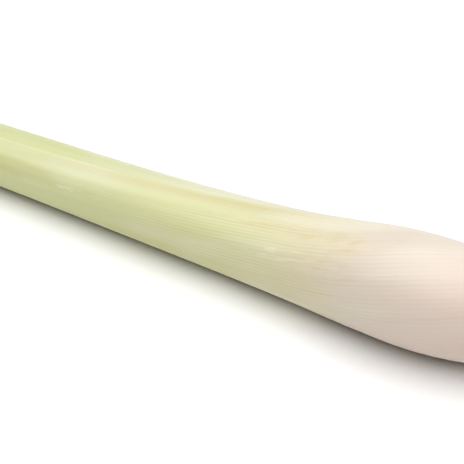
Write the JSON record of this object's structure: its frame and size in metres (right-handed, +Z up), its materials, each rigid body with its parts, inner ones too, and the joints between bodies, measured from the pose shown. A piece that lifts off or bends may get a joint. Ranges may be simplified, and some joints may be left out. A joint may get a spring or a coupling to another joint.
{
  "type": "lemongrass stalk",
  "caption": "Trimmed lemongrass stalk lying on its side: leaf sheaths rolled round each other on a root plate, swelling to a pale bulb at the root end.",
  "frame": {"origin": "middle of the footprint, on the plane the stalk rests on", "axes": "+X along the stem towards the root end, +Z up, +Y the way the root end turns aside"},
  "size_m": [0.2132, 0.0244, 0.0201],
  "materials": {
    "outer_sheath": "waxy leaf skin, satin, lime green on the stem to pinkish cream on the bulb",
    "second_sheath": "waxy leaf skin, satin, pale yellow green",
    "inner_sheath": "moist inner leaf, satin, cream",
    "heart": "moist young leaf, satin, pale green",
    "root_plate": "dry cut stem, matte, pale tan"
  },
  "bodies": {
    "root": {"outer_leaf_sheath": "outer_sheath", "second_leaf_sheath": "second_sheath", "third_leaf_sheath": "inner_sheath", "fourth_leaf_sheath": "inner_sheath", "fifth_leaf_sheath": "inner_sheath", "heart_leaf": "heart", "root_plate": "root_plate"}
  },
  "joints": []
}
